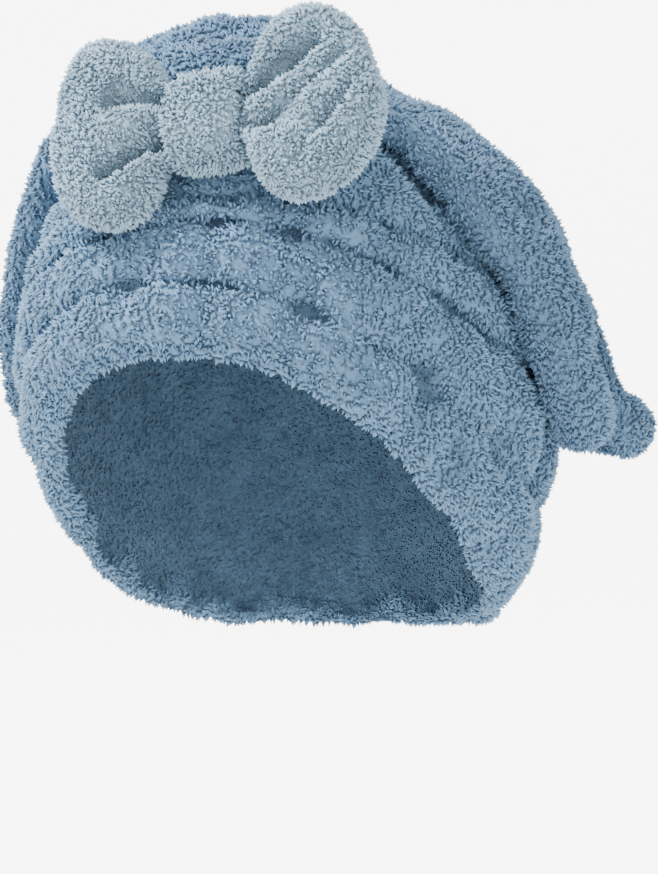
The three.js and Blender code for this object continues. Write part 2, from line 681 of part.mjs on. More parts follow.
const plush = new THREE.MeshStandardMaterial({ color: 0x5d80a0, roughness: 0.95, metalness: 0 });
const bandPlush = plush.clone();
bandPlush.color.set(0x7292ae);
const bowPlush = plush.clone();
bowPlush.color.set(0x93abb9);

const turban = new THREE.Group();
const addPiece = (name, geometry, material) => {
  const mesh = new THREE.Mesh(geometry, material);
  mesh.name = name;
  turban.add(mesh);
};
addPiece('shirred_band', buildBand(), bandPlush);
addPiece('crown_pouch', buildCrown(), plush);
addPiece('bow', buildBow(), bowPlush);
addPiece('bow_knot', buildKnot(), bowPlush);

export default turban;
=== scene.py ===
"""A plush hair turban: a shirred band, a slouchy crown and a padded bow, dressed with a deep pile.

The frame gives the solids. Each piece here starts from a copy of its solid, is smoothed and
rumpled, and then carries a pile of small leaning locks. All lengths are in metres.
"""

import math

import bmesh
import bpy
import numpy as np
from mathutils import Matrix, Vector, noise
from mathutils.bvhtree import BVHTree


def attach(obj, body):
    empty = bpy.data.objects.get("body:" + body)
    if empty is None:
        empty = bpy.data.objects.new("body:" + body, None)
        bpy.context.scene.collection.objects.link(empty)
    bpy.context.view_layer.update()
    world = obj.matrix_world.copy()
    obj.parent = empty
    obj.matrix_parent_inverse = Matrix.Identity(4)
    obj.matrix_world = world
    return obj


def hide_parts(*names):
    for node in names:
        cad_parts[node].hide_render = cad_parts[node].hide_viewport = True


bl_info = {
    "name": "Plush hair turban",
    "version": (1, 0, 0),
    "blender": (4, 5, 0),
    "location": "3D View > Sidebar > Turban",
    "description": "Dresses the turban's band, crown and bow in plush and lights them",
    "category": "Object",
}

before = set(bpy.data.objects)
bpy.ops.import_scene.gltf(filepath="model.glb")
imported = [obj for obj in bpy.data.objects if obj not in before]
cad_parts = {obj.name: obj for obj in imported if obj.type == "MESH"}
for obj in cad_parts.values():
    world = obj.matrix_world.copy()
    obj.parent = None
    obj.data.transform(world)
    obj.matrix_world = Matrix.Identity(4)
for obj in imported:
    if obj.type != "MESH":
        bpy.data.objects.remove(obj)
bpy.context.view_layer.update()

BODY = "root"

# The camera, fitted to the photograph: its focal length in the photograph's own pixels, its
# place, and the three axes of its own frame
PHOTO_HEIGHT_PIXELS = 874
CAMERA_FOCAL_PIXELS = 1500
SENSOR_MM = 36.0
NEAREST_SEEN = 0.02
CAMERA_PLACE = (0.213177, -0.536741, -0.004494)
CAMERA_AXES = (
    (0.93884214, 0.34034985, -0.05232033),
    (0.04083487, 0.04082722, 0.99833143),
    (0.34191805, -0.93941211, 0.02443218),
)

# The lights: where each stands and how wide it is, and the setting that holds its power
LIGHTS = (
    {"name": "Key light", "place": (-0.75, -0.95, 1.35), "size": 0.55, "power": "key_power"},
    {"name": "Fill light", "place": (1.5, -0.9, 0.5), "size": 1.2, "power": "fill_power"},
    {"name": "Back light", "place": (0.5, 1.3, 1.3), "size": 1.0, "power": "back_power"},
)
LIT_PLACE = (0.0, 0.0, 0.02)

# The floor's curve up into the wall, as a share of the stage's radius, and its even parts
FLOOR_CURVE_SHARE = 0.35
FLOOR_CURVE_STEPS = 12
FLOOR_SIDES = 96
FLOOR_GLOW = 0.42
FLOOR_GLOW_TO_CAMERA = 6.0

# Joining a solid's triangles into four-sided faces
SAME_PLACE = 1e-5
MOST_BEND_JOINED = math.radians(50)
MOST_SKEW_JOINED = math.radians(60)

# The rumples' finer noise: how many times smaller it is, and its share of the depth
FINE_RUMPLES = 2.3
FINE_RUMPLE_SHARE = 0.45

# How relief is found and deepened: puffs rise by a smaller share than creases sink, and the
# bow is deepened less than the rest
RELIEF_SMOOTHING = 70
MOST_RELIEF = 0.0016
PUFF_SHARE = 0.6
BOW_RELIEF_SHARE = 0.4
LEAST_HOLLOW = 0.0003
FULL_HOLLOW = 0.0012

# How a face's view of the open is tested: looks straight out and leaning to each side
LOOKS_FROM_ABOVE = 0.0012
SIDE_LOOKS = 4
SIDE_LEAN = 1.3
LOOK_REACH = 0.4
HIDDEN_SHARE = 0.06
SHARE_OF_A_LOOK = 0.47

# The locks: the sides of one, the range of their sizes, how much shorter they are in a hollow,
# the brushed patches that they lean in, and how far each strays
LOCK_SIDES = 3
SMALLEST_LOCK = 0.65
LARGEST_LOCK = 1.2
SHORTER_IN_A_HOLLOW = -0.5
BRUSHED_SCALE = 62.0
BRUSHED_DETAIL = 2.0
BRUSHED_MIDDLE = (0.5, 0.5, 0.62)
BRUSHED_GAIN = 3.0
STRAY = 0.45

# The plush's two noises, and the shade and roughness that each gives: a gain and a least value
PATCH_NOISE = {"Scale": 90.0, "Detail": 3.0}
FINE_NOISE = {"Scale": 620.0, "Detail": 2.0}
PATCH_SHADE = (0.5, 0.75)
FINE_SHADE = (0.7, 0.65)
PATCH_ROUGHNESS = (0.15, 0.8)
PLUSH_SURFACE = {
    "Specular IOR Level": 0.15,
    "Sheen Weight": 0.2,
    "Sheen Roughness": 0.5,
    "Sheen Tint": (0.7, 0.84, 0.95, 1.0),
}
FLOOR_SURFACE = {"Roughness": 0.9, "Specular IOR Level": 0.1}

# The cloth under the pile: its height in the pile, which sets how much of the painted shade at the
# roots it gets, and its bump
CLOTH_HEIGHT = 0.35
CLOTH_BUMP = {"Strength": 0.8, "Distance": 0.0012}


# Sizes and colours that a user would change


class TurbanClothSettings(bpy.types.PropertyGroup):
    """How the cloth under the pile is smoothed and rumpled."""

    detail: bpy.props.IntProperty(
        name="Detail",
        description="Times that the cloth's faces are divided",
        default=2,
        min=1,
        max=3,
    )
    rumple_depth: bpy.props.FloatProperty(
        name="Rumple depth",
        description="How far the cloth's soft rumples rise and sink",
        default=0.0018,
        unit="LENGTH",
    )
    rumple_size: bpy.props.FloatProperty(
        name="Rumple size",
        description="Distance from one rumple to the next",
        default=0.016,
        unit="LENGTH",
    )
    relief_gain: bpy.props.FloatProperty(
        name="Relief gain",
        description="How much the channels and creases are deepened, as a share of their depth",
        default=1.1,
        subtype="FACTOR",
    )
    bow_rumple_depth: bpy.props.FloatProperty(
        name="Bow rumple depth",
        description="How far the bow's soft rumples rise and sink",
        default=0.0009,
        unit="LENGTH",
    )


class TurbanPileSettings(bpy.types.PropertyGroup):
    """The pile: thousands of small pointed locks that lean together in clumps."""

    lock_length: bpy.props.FloatProperty(
        name="Lock length",
        description="Length of one lock of the pile",
        default=0.0025,
        unit="LENGTH",
    )
    lock_width: bpy.props.FloatProperty(
        name="Lock width",
        description="Width of a lock at its root",
        default=0.0018,
        unit="LENGTH",
    )
    bow_lock_length: bpy.props.FloatProperty(
        name="Bow lock length",
        description="Length of one lock of the bow's finer pile",
        default=0.0021,
        unit="LENGTH",
    )
    locks_per_square_metre: bpy.props.FloatProperty(
        name="Locks per square metre",
        description="How thickly the pile stands on the band and the crown",
        default=525000.0,
    )
    bow_locks_per_square_metre: bpy.props.FloatProperty(
        name="Bow locks per square metre",
        description="How thickly the pile stands on the bow and its knot",
        default=1000000.0,
    )
    most_locks_in_a_layer: bpy.props.IntProperty(
        name="Most locks in a layer",
        description="Most locks that one piece of the pile may have",
        default=48000,
        min=100,
    )
    clump_size: bpy.props.FloatProperty(
        name="Clump size",
        description="Distance between the clumps that the locks lean towards",
        default=0.0036,
        unit="LENGTH",
    )
    clump_pull: bpy.props.FloatProperty(
        name="Clump pull",
        description="How strongly a lock leans to the middle of its clump",
        default=0.9,
        subtype="FACTOR",
    )
    lean: bpy.props.FloatProperty(
        name="Lean",
        description="How far the pile lies over, in brushed patches",
        default=0.75,
        subtype="FACTOR",
    )


class TurbanColourSettings(bpy.types.PropertyGroup):
    """Colours of the plush, of the painted shade at its roots and in its creases, and of the
    stage.
    """

    band_colour: bpy.props.FloatVectorProperty(
        name="Band colour",
        description="Colour of the band's pile at its tips",
        default=(0.255, 0.45, 0.68),
        subtype="COLOR",
        size=3,
    )
    # The crown is the band's cloth: its colour is the band's made darker, as painted shade
    crown_shaded_colour: bpy.props.FloatVectorProperty(
        name="Crown shaded colour",
        description="Colour of the crown's pile at its tips",
        default=(0.22, 0.39, 0.60),
        subtype="COLOR",
        size=3,
    )
    bow_colour: bpy.props.FloatVectorProperty(
        name="Bow colour",
        description="Colour of the bow's pile at its tips",
        default=(0.46, 0.67, 0.84),
        subtype="COLOR",
        size=3,
    )
    # Painted shade at the roots of the pile: the roots are darkened to this share of the tips'
    # colour
    root_shade_share: bpy.props.FloatProperty(
        name="Root share",
        description="How light the pile is at its roots, as a share of its tips",
        default=0.32,
        subtype="FACTOR",
    )
    # Painted shade in the creases: the pile is darkened where the cloth is hollow
    crease_shade_share: bpy.props.FloatProperty(
        name="Hollow share",
        description="How light the pile is at the bottom of a crease, as a share of a puff's",
        default=0.62,
        subtype="FACTOR",
    )
    stage_colour: bpy.props.FloatVectorProperty(
        name="Stage colour",
        description="Colour of the floor and backdrop",
        default=(0.95, 0.95, 0.95),
        subtype="COLOR",
        size=3,
    )


class TurbanStageSettings(bpy.types.PropertyGroup):
    """The floor and the soft lights."""

    floor_height: bpy.props.FloatProperty(
        name="Floor height",
        description="Height of the floor under the middle of the head",
        default=-0.34,
        unit="LENGTH",
    )
    stage_radius: bpy.props.FloatProperty(
        name="Stage radius",
        description="Distance from the turban to the backdrop's wall",
        default=3.2,
        unit="LENGTH",
    )
    key_power: bpy.props.FloatProperty(
        name="Key light",
        description="Power of the large soft light in front and above",
        default=66.0,
        unit="POWER",
    )
    fill_power: bpy.props.FloatProperty(
        name="Fill light",
        description="Power of the soft light at the right",
        default=6.0,
        unit="POWER",
    )
    back_power: bpy.props.FloatProperty(
        name="Back light",
        description="Power of the soft light behind and above",
        default=10.0,
        unit="POWER",
    )
    sky_strength: bpy.props.FloatProperty(
        name="Sky strength",
        description="Strength of the plain light from all round",
        default=0.3,
    )


# Meshes


def new_object(name, mesh):
    piece = bpy.data.objects.new(name, mesh)
    bpy.context.scene.collection.objects.link(piece)
    return piece


def plain_mesh(piece):
    """Applies a piece's modifiers by taking its evaluated mesh, and removes them."""
    graph = bpy.context.evaluated_depsgraph_get()
    result = bpy.data.meshes.new_from_object(piece.evaluated_get(graph), depsgraph=graph)
    result.name = piece.name
    piece.modifiers.clear()
    piece.data = result


def merged_copy(node_name, piece_name):
    """A copy of a solid with its loose triangles joined into one skin of four-sided faces."""
    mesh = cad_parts[node_name].data.copy()
    mesh.materials.clear()
    mesh.name = piece_name
    skin = bmesh.new()
    skin.from_mesh(mesh)
    bmesh.ops.remove_doubles(skin, verts=skin.verts, dist=SAME_PLACE)
    bmesh.ops.join_triangles(
        skin,
        faces=skin.faces,
        angle_face_threshold=MOST_BEND_JOINED,
        angle_shape_threshold=MOST_SKEW_JOINED,
    )
    skin.to_mesh(mesh)
    skin.free()
    return new_object(piece_name, mesh)


def read_vectors(items, field):
    """A field of three numbers for each item of a mesh's collection, as an array."""
    values = np.zeros(len(items) * 3)
    items.foreach_get(field, values)
    return values.reshape(-1, 3)


def write_places(mesh, places):
    mesh.vertices.foreach_set("co", places.ravel())
    mesh.update()


def rumpled(piece, depth, size):
    """Moves each point along its normal by two sizes of soft noise."""
    mesh = piece.data
    places = read_vectors(mesh.vertices, "co")
    normals = read_vectors(mesh.vertices, "normal")
    moves = np.zeros(len(places))
    for index, place in enumerate(places):
        broad = noise.noise(Vector(place) / size)
        fine = noise.noise(Vector(place) * FINE_RUMPLES / size)
        moves[index] = depth * (broad + FINE_RUMPLE_SHARE * fine)
    write_places(mesh, places + normals * moves[:, None])


def neighbour_average(mesh):
    """Gives the function that averages a value over the points next to each point."""
    points = len(mesh.vertices)
    edges = np.zeros(len(mesh.edges) * 2, dtype=np.int64)
    mesh.edges.foreach_get("vertices", edges)
    first, second = edges.reshape(-1, 2).T
    count = np.bincount(first, minlength=points) + np.bincount(second, minlength=points)

    def average(values):
        total = np.bincount(first, values[second], points)
        total += np.bincount(second, values[first], points)
        return total / np.maximum(count, 1)

    return average


def deepened(piece, gain):
    """Deepens the cloth's channels, gathers and creases, and marks how hollow each point is,
    from 0 on a puff to 1 at the bottom of a crease."""
    mesh = piece.data
    places = read_vectors(mesh.vertices, "co")
    normals = read_vectors(mesh.vertices, "normal")
    average = neighbour_average(mesh)
    broad = places.T.copy()
    for _ in range(RELIEF_SMOOTHING):
        broad = np.array([0.5 * (axis + average(axis)) for axis in broad])
    relief = ((places - broad.T) * normals).sum(axis=1)
    relief = np.clip(relief, -MOST_RELIEF, MOST_RELIEF * PUFF_SHARE)
    write_places(mesh, places + normals * (gain * relief)[:, None])
    # The hollow mark shortens the locks, and it also sets the painted shade in the creases
    layer = mesh.attributes.new("hollow", "FLOAT", "POINT")
    hollow = (-relief - LEAST_HOLLOW) / (FULL_HOLLOW - LEAST_HOLLOW)
    layer.data.foreach_set("value", np.clip(hollow, 0, 1))


# The bow's plane: its middle, the way along it, and the way up its leaning face
BOW_MIDDLE = Vector((0.018, -0.0954, 0.086))
BOW_TILT = math.radians(3)
BOW_LEAN = math.radians(24)

# Creases and puffs of the bow's loops, in its plane: each runs from one end to the other,
# across and up from the bow's middle, and rises by its height or sinks where that is negative
BOW_FOLDS = (
    {"start": (-0.033, 0.0090), "end": (-0.013, 0.0062), "width": 0.0026, "height": -0.0055},
    {"start": (-0.033, -0.0175), "end": (-0.014, -0.0072), "width": 0.0028, "height": -0.0065},
    {"start": (-0.028, -0.0030), "end": (-0.018, -0.0010), "width": 0.0065, "height": 0.0035},
    {"start": (-0.030, 0.0220), "end": (-0.020, 0.0160), "width": 0.0070, "height": 0.0020},
    {"start": (0.0185, 0.0050), "end": (0.037, 0.0180), "width": 0.0036, "height": -0.0050},
    {"start": (0.023, -0.0070), "end": (0.046, 0.0100), "width": 0.0040, "height": -0.0030},
    {"start": (0.026, 0.0220), "end": (0.034, 0.0260), "width": 0.0070, "height": 0.0025},
    {"start": (0.024, -0.0150), "end": (0.034, -0.0200), "width": 0.0070, "height": 0.0025},
    {"start": (0.034, -0.0240), "end": (0.054, 0.0060), "width": 0.0030, "height": -0.0025},
)


def bow_axes():
    rise = Vector((0.0, math.sin(BOW_LEAN), math.cos(BOW_LEAN)))
    level = Vector((1.0, 0.0, 0.0))
    right = level * math.cos(BOW_TILT) + rise * math.sin(BOW_TILT)
    up = rise * math.cos(BOW_TILT) - level * math.sin(BOW_TILT)
    return right, up, right.cross(up)


def distance_to_line(places, start, end):
    """Distance of each flat place to a straight line between two ends."""
    start = np.array(start)
    along = np.array(end) - start
    share = np.clip(((places - start) @ along) / (along @ along), 0, 1)
    return np.linalg.norm(places - start - share[:, None] * along, axis=1)


def creased(piece):
    """Presses the bow's creases into its front face and puffs it up between them."""
    right, up, out = (np.array(axis) for axis in bow_axes())
    places = read_vectors(piece.data.vertices, "co")
    normals = read_vectors(piece.data.vertices, "normal")
    from_middle = places - np.array(BOW_MIDDLE)
    flat = np.stack([from_middle @ right, from_middle @ up], axis=1)
    facing = np.clip(normals @ out, 0, 1)
    moves = np.zeros(len(places))
    for fold in BOW_FOLDS:
        distance = distance_to_line(flat, fold["start"], fold["end"])
        moves += fold["height"] * np.exp(-((distance / fold["width"]) ** 2))
    write_places(piece.data, places + out * (moves * facing)[:, None])


def smoothly_divided(piece, levels):
    divide = piece.modifiers.new("Divide", "SUBSURF")
    divide.levels = levels
    divide.render_levels = levels
    plain_mesh(piece)
    piece.data.shade_smooth()


def store_openness(piece):
    """Marks each face with how much of the pile it carries: all of it where it looks out into
    the open, and a little where it faces the inside of the turban."""
    mesh = piece.data
    centres = read_vectors(mesh.polygons, "center")
    normals = read_vectors(mesh.polygons, "normal")
    shell = shell_of(piece)
    shares = np.zeros(len(centres))
    for index, (centre, normal) in enumerate(zip(centres, normals)):
        shares[index] = open_share(Vector(centre), Vector(normal), shell)
    layer = mesh.attributes.new("pile_share", "FLOAT", "FACE")
    layer.data.foreach_set("value", shares)


def open_share(centre, normal, shell):
    """The pile's share on one face, by how many of its looks meet none of its own cloth."""
    across = normal.orthogonal().normalized()
    along = normal.cross(across)
    start = centre + normal * LOOKS_FROM_ABOVE
    looks = [normal]
    for turn in range(SIDE_LOOKS):
        angle = turn * 2 * math.pi / SIDE_LOOKS
        side = across * math.cos(angle) + along * math.sin(angle)
        looks.append((normal + side * SIDE_LEAN).normalized())
    free = sum(shell.ray_cast(start, look, LOOK_REACH)[0] is None for look in looks)
    return min(1.0, HIDDEN_SHARE + free * SHARE_OF_A_LOOK)


def shell_of(piece):
    mesh = piece.data
    places = [vertex.co.copy() for vertex in mesh.vertices]
    faces = [tuple(face.vertices) for face in mesh.polygons]
    return BVHTree.FromPolygons(places, faces)


# The pile


def add_sockets(tree, side, sockets):
    """Adds a tree's own inputs or outputs, each by its name and kind."""
    for name, kind in sockets.items():
        tree.interface.new_socket(name=name, in_out=side, socket_type=f"NodeSocket{kind}")


def connect(tree, socket, value):
    """Gives an input its value, which is another node's output or a plain value."""
    if isinstance(value, bpy.types.NodeSocket):
        tree.links.new(value, socket)
    else:
        socket.default_value = value


def feed(tree, made, values):
    """Gives a node's named inputs their values."""
    for name, value in values.items():
        connect(tree, made.inputs[name], value)


def new_node(tree, kind, inputs=None, **settings):
    """A node with its settings made and its named inputs fed."""
    made = tree.nodes.new(kind)
    for name, value in settings.items():
        setattr(made, name, value)
    feed(tree, made, inputs or {})
    return made


def vector_math(tree, operation, first, second):
    """A Vector Math node on two vectors, or on a vector and the scale that it is given."""
    made = new_node(tree, "ShaderNodeVectorMath", operation=operation)
    other = made.inputs["Scale"] if operation == "SCALE" else made.inputs[1]
    connect(tree, made.inputs[0], first)
    connect(tree, other, second)
    return made.outputs[0]


def number_math(tree, operation, *values):
    """A Math node on two or three numbers."""
    made = new_node(tree, "ShaderNodeMath", operation=operation)
    for socket, value in zip(made.inputs, values):
        connect(tree, socket, value)
    return made.outputs[0]


def lock_shape(tree, given):
    """One pointed lock of four faces, marked from 0 at its root to 1 at its tip."""
    half_width = number_math(tree, "MULTIPLY", given["Lock width"], 0.5)
    sizes = {
        "Vertices": LOCK_SIDES,
        "Radius Top": 0.0,
        "Radius Bottom": half_width,
        "Depth": given["Lock length"],
    }
    cone = new_node(tree, "GeometryNodeMeshCone", sizes)
    place = new_node(tree, "GeometryNodeInputPosition").outputs[0]
    parts = new_node(tree, "ShaderNodeSeparateXYZ", {"Vector": place})
    rise = number_math(tree, "DIVIDE", parts.outputs["Z"], given["Lock length"])
    mark = new_node(
        tree,
        "GeometryNodeStoreNamedAttribute",
        {"Geometry": cone.outputs["Mesh"], "Name": "tip", "Value": rise},
        data_type="FLOAT",
        domain="POINT",
    )
    return mark.outputs["Geometry"]


def lock_lean(tree, given, normal):
    """The way that a lock points: out from the cloth, over to its clump, and as brushed."""
    place = new_node(tree, "GeometryNodeInputPosition").outputs[0]
    per_clump = number_math(tree, "DIVIDE", 1.0, given["Clump size"])
    clumps = new_node(
        tree,
        "ShaderNodeTexVoronoi",
        {"Vector": place, "Scale": per_clump},
        voronoi_dimensions="3D",
        feature="F1",
    )
    to_clump = vector_math(tree, "SUBTRACT", clumps.outputs["Position"], place)
    pull = number_math(tree, "MULTIPLY", given["Clump pull"], per_clump)
    clump_lean = vector_math(tree, "SCALE", to_clump, pull)

    brushed = new_node(
        tree,
        "ShaderNodeTexNoise",
        {"Vector": place, "Scale": BRUSHED_SCALE, "Detail": BRUSHED_DETAIL},
        noise_dimensions="3D",
    )
    off_middle = vector_math(tree, "SUBTRACT", brushed.outputs["Color"], BRUSHED_MIDDLE)
    lean = number_math(tree, "MULTIPLY", given["Lean"], BRUSHED_GAIN)
    brushed_lean = vector_math(tree, "SCALE", off_middle, lean)

    limits = {"Min": (-STRAY,) * 3, "Max": (STRAY,) * 3, "Seed": given["Seed"]}
    stray = new_node(tree, "FunctionNodeRandomValue", limits, data_type="FLOAT_VECTOR")

    together = vector_math(tree, "ADD", clump_lean, brushed_lean)
    together = vector_math(tree, "ADD", together, stray.outputs["Value"])
    return vector_math(tree, "ADD", normal, together)


def stored(tree, name):
    """A number that the cloth's mesh keeps under a name."""
    attribute = new_node(
        tree, "GeometryNodeInputNamedAttribute", {"Name": name}, data_type="FLOAT"
    )
    return attribute.outputs["Attribute"]


def lock_size(tree, given):
    """A lock's random size, smaller where the cloth is hollow."""
    limits = {"Min": SMALLEST_LOCK, "Max": LARGEST_LOCK, "Seed": given["Seed"]}
    size = new_node(tree, "FunctionNodeRandomValue", limits, data_type="FLOAT")
    shorter = number_math(tree, "MULTIPLY", stored(tree, "hollow"), SHORTER_IN_A_HOLLOW)
    return number_math(tree, "ADD", shorter, size.outputs[1])


PILE_INPUTS = {
    "Cloth": "Geometry",
    "Lock length": "Float",
    "Lock width": "Float",
    "Locks per square metre": "Float",
    "Clump size": "Float",
    "Clump pull": "Float",
    "Lean": "Float",
    "Seed": "Int",
    "Pile material": "Material",
}


def make_pile_tree():
    """A tree that stands locks on a cloth's faces, as thickly as its pile_share says."""
    tree = bpy.data.node_groups.new("Plush pile", "GeometryNodeTree")
    add_sockets(tree, "INPUT", PILE_INPUTS)
    add_sockets(tree, "OUTPUT", {"Pile": "Geometry"})
    given = new_node(tree, "NodeGroupInput").outputs
    share = stored(tree, "pile_share")
    density = number_math(tree, "MULTIPLY", share, given["Locks per square metre"])
    scatter = new_node(
        tree,
        "GeometryNodeDistributePointsOnFaces",
        {"Mesh": given["Cloth"], "Density": density, "Seed": given["Seed"]},
        distribute_method="RANDOM",
    )
    ways = {
        "Vector": lock_lean(tree, given, scatter.outputs["Normal"]),
        "Rotation": scatter.outputs["Rotation"],
    }
    turned = new_node(tree, "FunctionNodeAlignRotationToVector", ways, axis="Z")
    locks = {
        "Points": scatter.outputs["Points"],
        "Instance": lock_shape(tree, given),
        "Rotation": turned.outputs["Rotation"],
        "Scale": lock_size(tree, given),
    }
    stand = new_node(tree, "GeometryNodeInstanceOnPoints", locks)
    standing = {"Geometry": stand.outputs["Instances"]}
    real = new_node(tree, "GeometryNodeRealizeInstances", standing)
    coated = {"Geometry": real.outputs["Geometry"], "Material": given["Pile material"]}
    coat = new_node(tree, "GeometryNodeSetMaterial", coated)
    new_node(tree, "NodeGroupOutput", {"Pile": coat.outputs["Geometry"]})
    return tree


def pile_tree():
    return bpy.data.node_groups.get("Plush pile") or make_pile_tree()


def piled_area(cloth):
    """Area of a cloth's faces in square metres, each by its share of the pile."""
    areas = np.zeros(len(cloth.data.polygons))
    cloth.data.polygons.foreach_get("area", areas)
    shares = np.zeros(len(areas))
    cloth.data.attributes["pile_share"].data.foreach_get("value", shares)
    return float((areas * shares).sum())


def stand_pile(cloth, length, density, material):
    """Covers a cloth with locks, in as many even layers as they need, each a piece."""
    pile = bpy.context.scene.turban_pile
    tree = pile_tree()
    sockets = {}
    for item in tree.interface.items_tree:
        if item.in_out == "INPUT":
            sockets[item.name] = item.identifier
    locks = density * piled_area(cloth)
    layers = math.ceil(locks / pile.most_locks_in_a_layer)
    given = {
        "Lock length": length,
        "Lock width": pile.lock_width,
        "Locks per square metre": density / layers,
        "Clump size": pile.clump_size,
        "Clump pull": pile.clump_pull,
        "Lean": pile.lean,
        "Pile material": material,
    }
    for layer in range(layers):
        piece = new_object(f"{cloth.name}_pile_{layer + 1}", cloth.data.copy())
        piece.data.materials.clear()
        stand = piece.modifiers.new("Pile", "NODES")
        stand.node_group = tree
        stand[sockets["Seed"]] = layer + 1
        for name, value in given.items():
            stand[sockets[name]] = value
        plain_mesh(piece)
        piece.data.shade_smooth()
        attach(piece, BODY)


# Materials


SHADE_INPUTS = {
    "Tip colour": "Color",
    "Root share": "Float",
    "Height in the pile": "Float",
    "Hollow": "Float",
    "Hollow share": "Float",
}


def make_plush_shades():
    """A node group that gives the plush its patches of lighter and darker pile, and its painted
    shade at the roots and in the creases.
    """
    group = bpy.data.node_groups.new("Plush shades", "ShaderNodeTree")
    add_sockets(group, "INPUT", SHADE_INPUTS)
    add_sockets(group, "OUTPUT", {"Colour": "Color", "Roughness": "Float", "Fuzz": "Float"})
    given = new_node(group, "NodeGroupInput").outputs
    where = new_node(group, "ShaderNodeTexCoord").outputs["Object"]
    patches = new_node(group, "ShaderNodeTexNoise", {"Vector": where, **PATCH_NOISE})
    fine = new_node(group, "ShaderNodeTexNoise", {"Vector": where, **FINE_NOISE})
    patch = patches.outputs["Fac"]
    fuzz = fine.outputs["Fac"]

    # Painted shade: darker towards the roots of the pile, and darker at the bottom of the cloth's
    # creases
    rise = {"Value": given["Height in the pile"], "To Min": given["Root share"], "To Max": 1.0}
    crease_shade = {"Value": given["Hollow"], "To Min": 1.0, "To Max": given["Hollow share"]}
    patch_shade = number_math(group, "MULTIPLY_ADD", patch, *PATCH_SHADE)
    fine_shade = number_math(group, "MULTIPLY_ADD", fuzz, *FINE_SHADE)
    shade = number_math(group, "MULTIPLY", patch_shade, fine_shade)
    for limits in (rise, crease_shade):
        share = new_node(group, "ShaderNodeMapRange", limits).outputs["Result"]
        shade = number_math(group, "MULTIPLY", shade, share)
    finished = {
        "Colour": vector_math(group, "SCALE", given["Tip colour"], shade),
        "Roughness": number_math(group, "MULTIPLY_ADD", patch, *PATCH_ROUGHNESS),
        "Fuzz": fuzz,
    }
    new_node(group, "NodeGroupOutput", finished)
    return group


def plush_shades():
    return bpy.data.node_groups.get("Plush shades") or make_plush_shades()


def new_material(name, inputs):
    """A material with named inputs of its shader fed, and that shader."""
    made = bpy.data.materials.new(name)
    made.use_nodes = True
    shader = made.node_tree.nodes["Principled BSDF"]
    feed(made.node_tree, shader, inputs)
    return made, shader


def plush_material(name, colour, on_locks):
    """The pile's own material, or that of the cloth under it."""
    made, shader = new_material(name, PLUSH_SURFACE)
    tree = made.node_tree
    colours = bpy.context.scene.turban_colours
    hollow = new_node(tree, "ShaderNodeAttribute", attribute_name="hollow")
    tip = new_node(tree, "ShaderNodeAttribute", attribute_name="tip")
    given = {
        "Tip colour": (*colour, 1.0),
        "Root share": colours.root_shade_share,
        "Hollow share": colours.crease_shade_share,
        "Hollow": hollow.outputs["Fac"],
        "Height in the pile": tip.outputs["Fac"] if on_locks else CLOTH_HEIGHT,
    }
    shades = new_node(tree, "ShaderNodeGroup", node_tree=plush_shades())
    feed(tree, shades, given)
    looks = {"Base Color": shades.outputs["Colour"], "Roughness": shades.outputs["Roughness"]}
    if not on_locks:
        raised = {"Height": shades.outputs["Fuzz"], **CLOTH_BUMP}
        looks["Normal"] = new_node(tree, "ShaderNodeBump", raised).outputs["Normal"]
    feed(tree, shader, looks)
    return made


def finish_cloth(piece, node_name, colour, length, density):
    """Gives a finished cloth its materials, its pile and its place in the frame."""
    under = plush_material(f"{piece.name} cloth", colour, on_locks=False)
    above = plush_material(f"{piece.name} pile", colour, on_locks=True)
    piece.data.materials.append(under)
    stand_pile(piece, length, density, above)
    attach(piece, BODY)
    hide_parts(node_name)


# Operators


class TURBAN_OT_stage(bpy.types.Operator):
    """Sets the camera, the pale floor and backdrop, and the soft lights"""

    bl_idname = "turban.stage"
    bl_label = "Stage"

    def execute(self, context):
        place_camera(context.scene)
        build_floor(context.scene)
        place_lights(context.scene)
        return {"FINISHED"}


def place_camera(scene):
    lens = bpy.data.cameras.new("Camera")
    lens.sensor_fit = "VERTICAL"
    lens.sensor_height = SENSOR_MM
    lens.lens = CAMERA_FOCAL_PIXELS / PHOTO_HEIGHT_PIXELS * SENSOR_MM
    lens.clip_start = NEAREST_SEEN
    camera = new_object("Camera", lens)
    turned = Matrix(CAMERA_AXES).transposed().to_4x4()
    camera.matrix_world = Matrix.Translation(CAMERA_PLACE) @ turned
    scene.camera = camera


def floor_profile(radius):
    """The floor's flat part, its curve and its wall, each place by its way out and its rise."""
    curve_radius = radius * FLOOR_CURVE_SHARE
    profile = [(radius - curve_radius, 0.0)]
    for step in range(1, FLOOR_CURVE_STEPS + 1):
        angle = step / FLOOR_CURVE_STEPS * math.pi / 2
        out = radius - curve_radius + curve_radius * math.sin(angle)
        profile.append((out, curve_radius * (1 - math.cos(angle))))
    profile.append((radius, radius))
    return profile


def build_floor(scene):
    """A round floor that curves up into a wall all the way round, so no horizon shows."""
    stage = scene.turban_stage
    places = [(0.0, 0.0, stage.floor_height)]
    faces = []
    for ring, (out, rise) in enumerate(floor_profile(stage.stage_radius)):
        for side in range(FLOOR_SIDES):
            turn = side / FLOOR_SIDES * 2 * math.pi
            height = stage.floor_height + rise
            places.append((out * math.cos(turn), out * math.sin(turn), height))
        for side in range(FLOOR_SIDES):
            beside = (side + 1) % FLOOR_SIDES
            if ring == 0:
                faces.append((0, 1 + side, 1 + beside))
                continue
            lower = 1 + (ring - 1) * FLOOR_SIDES
            upper = lower + FLOOR_SIDES
            faces.append((lower + side, upper + side, upper + beside, lower + beside))
    mesh = bpy.data.meshes.new("floor")
    mesh.from_pydata(places, [], faces)
    mesh.shade_smooth()
    mesh.materials.append(floor_material(scene))
    new_object("floor", mesh)


